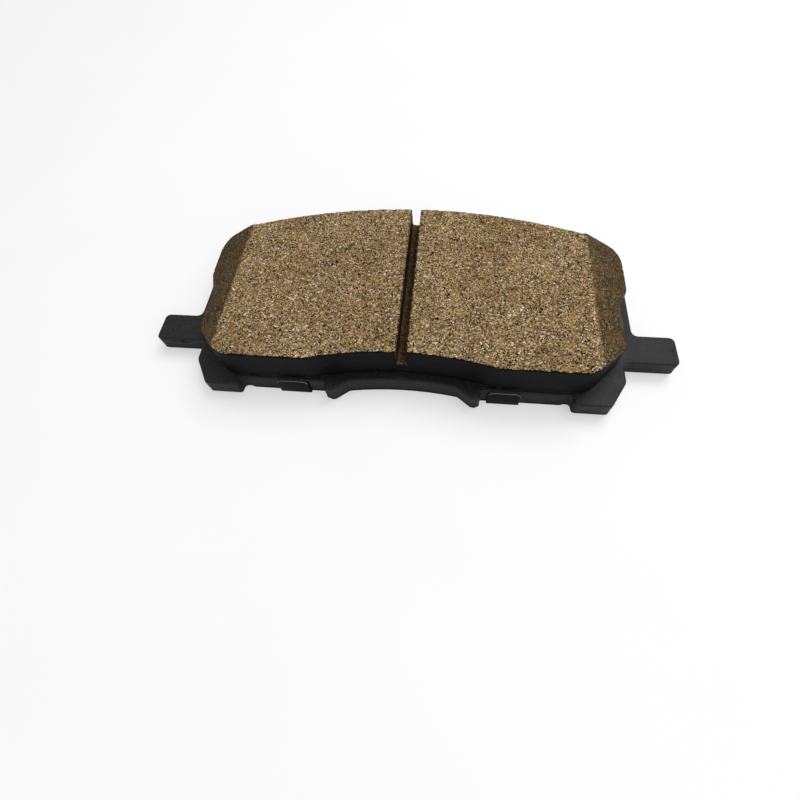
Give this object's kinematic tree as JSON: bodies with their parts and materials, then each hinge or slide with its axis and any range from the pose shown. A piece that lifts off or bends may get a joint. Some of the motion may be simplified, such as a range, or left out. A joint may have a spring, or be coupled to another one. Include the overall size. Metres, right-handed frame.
{
  "type": "disc brake pad",
  "caption": "Disc brake pad: stamped backing plate with ears and feet, chamfered friction block with a centre slot, and tabbed shims on its back.",
  "frame": {"origin": "middle of the bounding box in X and Y, at the outer shim's back face, which the pad lies on", "axes": "+Z out of the friction face towards the disc, +X along the pad from ear to ear, +Y radially outward from the disc axis"},
  "size_m": [0.1362, 0.055, 0.0165],
  "materials": {
    "plate_paint": "satin black powder coat with a fine grain",
    "adhesive": "cured phenolic adhesive",
    "underlayer": "moulded fibre compound, matt",
    "friction": "ground low-copper friction compound, tan with pale and dark grains",
    "shim_rubber": "rubber-coated damping sheet, matt",
    "shim_paint": "smooth black paint over thin steel, bright where the edges are rubbed"
  },
  "bodies": {
    "root": {"backing_plate": "plate_paint", "bond_layer": "adhesive", "underlayer": "underlayer", "friction_block": "friction", "inner_shim": "shim_rubber", "outer_shim": "shim_paint"}
  },
  "joints": []
}
